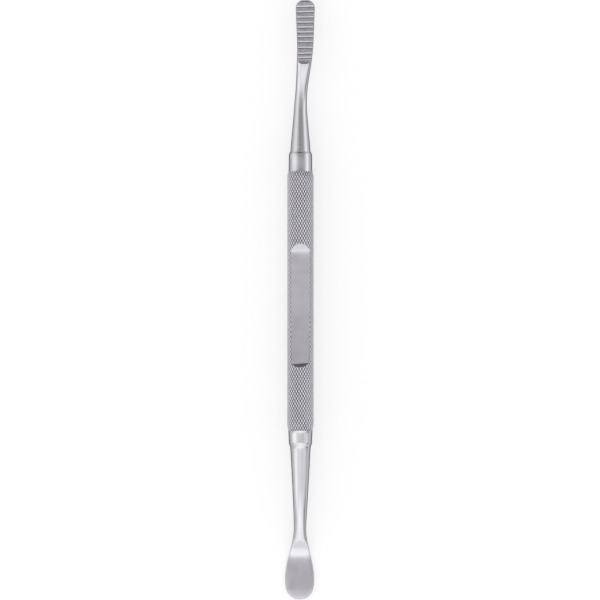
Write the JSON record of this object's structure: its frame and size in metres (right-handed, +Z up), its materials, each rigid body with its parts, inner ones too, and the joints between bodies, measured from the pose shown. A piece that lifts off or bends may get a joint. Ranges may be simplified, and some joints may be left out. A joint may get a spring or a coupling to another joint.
{
  "type": "double-ended bone curette and file",
  "caption": "Double-ended hand instrument in solid steel: a knurled round grip with a thumb flat, a half-round bone file with cross-cut teeth, and a bent blade with a flat oval end.",
  "frame": {"origin": "middle of the instrument's footprint, on the surface that it lies on", "axes": "+Y along the grip towards the file, +X to the right as the file points away from the viewer, +Z up, out of the thumb flat and the file's teeth"},
  "size_m": [0.0089, 0.18, 0.008],
  "materials": {
    "satin_steel": "satin-ground stainless steel, brighter on the turned shanks and matt on the thumb flat"
  },
  "bodies": {
    "root": {"bone_curette_body": "satin_steel"}
  },
  "joints": []
}
